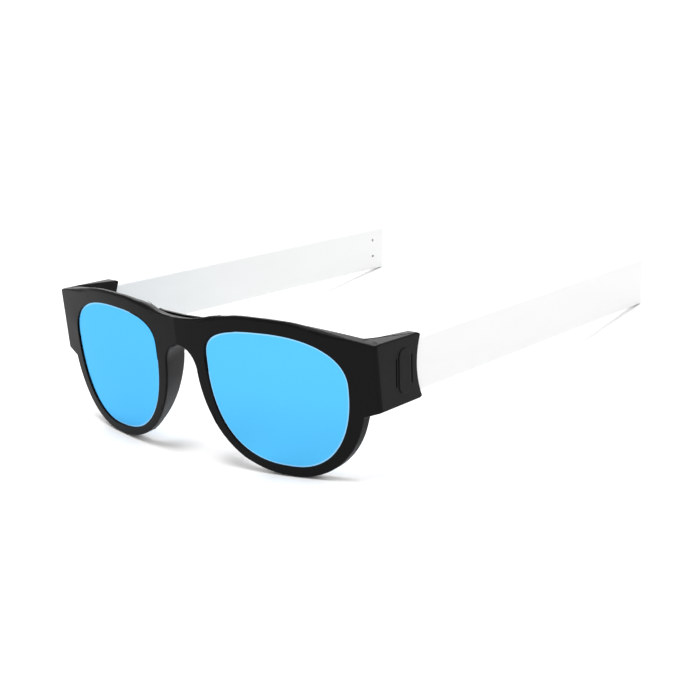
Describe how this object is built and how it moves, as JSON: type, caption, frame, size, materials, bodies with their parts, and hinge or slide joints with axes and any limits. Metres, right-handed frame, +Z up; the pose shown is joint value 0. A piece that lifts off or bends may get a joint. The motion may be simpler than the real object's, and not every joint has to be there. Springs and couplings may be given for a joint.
{
  "type": "slap sunglasses",
  "caption": "Sunglasses with a folded wrap front, mirrored lenses, and broad straight arms that snap into coils.",
  "frame": {"origin": "middle of the bounding box, on the surface that the rims and the arm tips stand on", "axes": "+X the wearer's left, +Y from the lenses towards the arm tips, +Z up"},
  "size_m": [0.1442, 0.1831, 0.0514],
  "materials": {
    "frame_black": "moulded in colour, fine satin grain",
    "lens_blue": "smooth with a blue mirror coating",
    "sleeve_white": "soft matt silicone",
    "plug_grey": "plain moulded",
    "strip_steel": "rolled spring steel",
    "pin_steel": "drawn wire"
  },
  "bodies": {
    "front": {"front_frame": "frame_black", "lens_left": "lens_blue", "lens_right": "lens_blue", "rivets": "pin_steel", "lock_pins": "pin_steel", "left_plug": "plug_grey", "left_strip_root": "strip_steel", "left_sleeve_root": "sleeve_white", "right_plug": "plug_grey", "right_strip_root": "strip_steel", "right_sleeve_root": "sleeve_white"},
    "left_link_1": {"left_strip_1": "strip_steel", "left_sleeve_1": "sleeve_white"},
    "left_link_2": {"left_strip_2": "strip_steel", "left_sleeve_2": "sleeve_white"},
    "left_link_3": {"left_strip_3": "strip_steel", "left_sleeve_3": "sleeve_white"},
    "left_link_4": {"left_strip_4": "strip_steel", "left_sleeve_4": "sleeve_white"},
    "left_link_5": {"left_strip_5": "strip_steel", "left_sleeve_5": "sleeve_white"},
    "left_link_6": {"left_strip_6": "strip_steel", "left_sleeve_6": "sleeve_white"},
    "left_link_7": {"left_strip_7": "strip_steel", "left_sleeve_7": "sleeve_white"},
    "left_link_8": {"left_strip_8": "strip_steel", "left_sleeve_8": "sleeve_white"},
    "left_link_9": {"left_strip_9": "strip_steel", "left_sleeve_9": "sleeve_white"},
    "left_link_10": {"left_strip_10": "strip_steel", "left_sleeve_10": "sleeve_white"},
    "right_link_1": {"right_strip_1": "strip_steel", "right_sleeve_1": "sleeve_white"},
    "right_link_2": {"right_strip_2": "strip_steel", "right_sleeve_2": "sleeve_white"},
    "right_link_3": {"right_strip_3": "strip_steel", "right_sleeve_3": "sleeve_white"},
    "right_link_4": {"right_strip_4": "strip_steel", "right_sleeve_4": "sleeve_white"},
    "right_link_5": {"right_strip_5": "strip_steel", "right_sleeve_5": "sleeve_white"},
    "right_link_6": {"right_strip_6": "strip_steel", "right_sleeve_6": "sleeve_white"},
    "right_link_7": {"right_strip_7": "strip_steel", "right_sleeve_7": "sleeve_white"},
    "right_link_8": {"right_strip_8": "strip_steel", "right_sleeve_8": "sleeve_white"},
    "right_link_9": {"right_strip_9": "strip_steel", "right_sleeve_9": "sleeve_white"},
    "right_link_10": {"right_strip_10": "strip_steel", "right_sleeve_10": "sleeve_white"}
  },
  "joints": [
    {"name": "left_curl_1", "type": "hinge", "parent": "front", "child": "left_link_1", "pos_m": [0.06818, -0.03224, 0.02775], "axis": [-0.0039, 0.1544, 0.988], "range_deg": [0, 28.6]},
    {"name": "left_curl_2", "type": "hinge", "parent": "left_link_1", "child": "left_link_2", "pos_m": [0.06773, -0.01999, 0.02584], "axis": [-0.0039, 0.1544, 0.988], "range_deg": [0, 28.6]},
    {"name": "left_curl_3", "type": "hinge", "parent": "left_link_2", "child": "left_link_3", "pos_m": [0.06728, -0.00775, 0.02392], "axis": [-0.0039, 0.1544, 0.988], "range_deg": [0, 28.6]},
    {"name": "left_curl_4", "type": "hinge", "parent": "left_link_3", "child": "left_link_4", "pos_m": [0.06682, 0.00449, 0.02201], "axis": [-0.0039, 0.1544, 0.988], "range_deg": [0, 28.6]},
    {"name": "left_curl_5", "type": "hinge", "parent": "left_link_4", "child": "left_link_5", "pos_m": [0.06637, 0.01673, 0.02009], "axis": [-0.0039, 0.1544, 0.988], "range_deg": [0, 28.6]},
    {"name": "left_curl_6", "type": "hinge", "parent": "left_link_5", "child": "left_link_6", "pos_m": [0.06592, 0.02898, 0.01817], "axis": [-0.0039, 0.1544, 0.988], "range_deg": [0, 28.6]},
    {"name": "left_curl_7", "type": "hinge", "parent": "left_link_6", "child": "left_link_7", "pos_m": [0.06547, 0.04122, 0.01626], "axis": [-0.0039, 0.1544, 0.988], "range_deg": [0, 28.6]},
    {"name": "left_curl_8", "type": "hinge", "parent": "left_link_7", "child": "left_link_8", "pos_m": [0.06502, 0.05346, 0.01434], "axis": [-0.0039, 0.1544, 0.988], "range_deg": [0, 28.6]},
    {"name": "left_curl_9", "type": "hinge", "parent": "left_link_8", "child": "left_link_9", "pos_m": [0.06457, 0.06571, 0.01243], "axis": [-0.0039, 0.1544, 0.988], "range_deg": [0, 28.6]},
    {"name": "left_curl_10", "type": "hinge", "parent": "left_link_9", "child": "left_link_10", "pos_m": [0.06411, 0.07795, 0.01051], "axis": [-0.0039, 0.1544, 0.988], "range_deg": [0, 28.6]},
    {"name": "right_curl_1", "type": "hinge", "parent": "front", "child": "right_link_1", "pos_m": [-0.06818, -0.03224, 0.02775], "axis": [-0.0039, -0.1544, -0.988], "range_deg": [0, 28.6]},
    {"name": "right_curl_2", "type": "hinge", "parent": "right_link_1", "child": "right_link_2", "pos_m": [-0.06773, -0.01999, 0.02584], "axis": [-0.0039, -0.1544, -0.988], "range_deg": [0, 28.6]},
    {"name": "right_curl_3", "type": "hinge", "parent": "right_link_2", "child": "right_link_3", "pos_m": [-0.06728, -0.00775, 0.02392], "axis": [-0.0039, -0.1544, -0.988], "range_deg": [0, 28.6]},
    {"name": "right_curl_4", "type": "hinge", "parent": "right_link_3", "child": "right_link_4", "pos_m": [-0.06682, 0.00449, 0.02201], "axis": [-0.0039, -0.1544, -0.988], "range_deg": [0, 28.6]},
    {"name": "right_curl_5", "type": "hinge", "parent": "right_link_4", "child": "right_link_5", "pos_m": [-0.06637, 0.01673, 0.02009], "axis": [-0.0039, -0.1544, -0.988], "range_deg": [0, 28.6]},
    {"name": "right_curl_6", "type": "hinge", "parent": "right_link_5", "child": "right_link_6", "pos_m": [-0.06592, 0.02898, 0.01817], "axis": [-0.0039, -0.1544, -0.988], "range_deg": [0, 28.6]},
    {"name": "right_curl_7", "type": "hinge", "parent": "right_link_6", "child": "right_link_7", "pos_m": [-0.06547, 0.04122, 0.01626], "axis": [-0.0039, -0.1544, -0.988], "range_deg": [0, 28.6]},
    {"name": "right_curl_8", "type": "hinge", "parent": "right_link_7", "child": "right_link_8", "pos_m": [-0.06502, 0.05346, 0.01434], "axis": [-0.0039, -0.1544, -0.988], "range_deg": [0, 28.6]},
    {"name": "right_curl_9", "type": "hinge", "parent": "right_link_8", "child": "right_link_9", "pos_m": [-0.06457, 0.06571, 0.01243], "axis": [-0.0039, -0.1544, -0.988], "range_deg": [0, 28.6]},
    {"name": "right_curl_10", "type": "hinge", "parent": "right_link_9", "child": "right_link_10", "pos_m": [-0.06411, 0.07795, 0.01051], "axis": [-0.0039, -0.1544, -0.988], "range_deg": [0, 28.6]}
  ],
  "couplings": [
    {"joint": "left_curl_1", "follows": "left_curl_10", "ratio": 1},
    {"joint": "left_curl_2", "follows": "left_curl_10", "ratio": 1},
    {"joint": "left_curl_3", "follows": "left_curl_10", "ratio": 1},
    {"joint": "left_curl_4", "follows": "left_curl_10", "ratio": 1},
    {"joint": "left_curl_5", "follows": "left_curl_10", "ratio": 1},
    {"joint": "left_curl_6", "follows": "left_curl_10", "ratio": 1},
    {"joint": "left_curl_7", "follows": "left_curl_10", "ratio": 1},
    {"joint": "left_curl_8", "follows": "left_curl_10", "ratio": 1},
    {"joint": "left_curl_9", "follows": "left_curl_10", "ratio": 1},
    {"joint": "right_curl_1", "follows": "right_curl_10", "ratio": 1},
    {"joint": "right_curl_2", "follows": "right_curl_10", "ratio": 1},
    {"joint": "right_curl_3", "follows": "right_curl_10", "ratio": 1},
    {"joint": "right_curl_4", "follows": "right_curl_10", "ratio": 1},
    {"joint": "right_curl_5", "follows": "right_curl_10", "ratio": 1},
    {"joint": "right_curl_6", "follows": "right_curl_10", "ratio": 1},
    {"joint": "right_curl_7", "follows": "right_curl_10", "ratio": 1},
    {"joint": "right_curl_8", "follows": "right_curl_10", "ratio": 1},
    {"joint": "right_curl_9", "follows": "right_curl_10", "ratio": 1}
  ]
}
